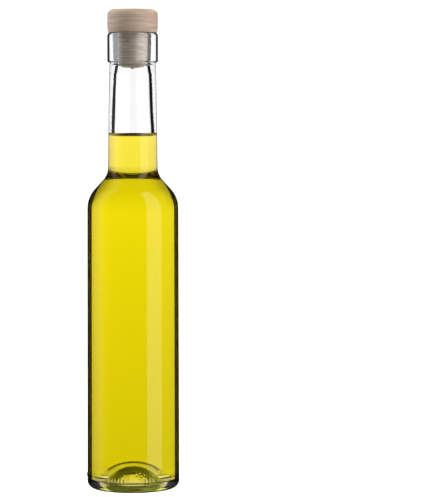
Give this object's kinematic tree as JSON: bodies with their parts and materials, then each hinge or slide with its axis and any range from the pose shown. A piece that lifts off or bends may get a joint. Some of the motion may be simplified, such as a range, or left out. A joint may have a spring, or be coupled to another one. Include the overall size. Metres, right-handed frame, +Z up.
{
  "type": "glass bottle of oil",
  "caption": "Tall slim clear-glass bottle of golden oil with a straight body, round shoulder, banded mouth, pushed-up bottom and a wooden-headed stopper.",
  "frame": {"origin": "centre of the ring that the bottle stands on, at the level of the table", "axes": "+Z up the bottle's axis to the stopper; -Y is the side that the picture shows; the raised mould mark on the heel is at -X"},
  "size_m": [0.0571, 0.0566, 0.2931],
  "materials": {
    "clear_glass": "clear flint glass, smooth and glossy, slightly uneven in thickness",
    "golden_oil": "clear yellow oil",
    "pale_beech": "unvarnished turned beech, matt, fine straight grain across",
    "moulded_cork": "matt moulded cork substitute, fine-grained, with a small gate pip"
  },
  "bodies": {
    "root": {"bottle": "clear_glass", "oil": "golden_oil", "stopper_head": "pale_beech", "stopper_shank": "moulded_cork"}
  },
  "joints": []
}
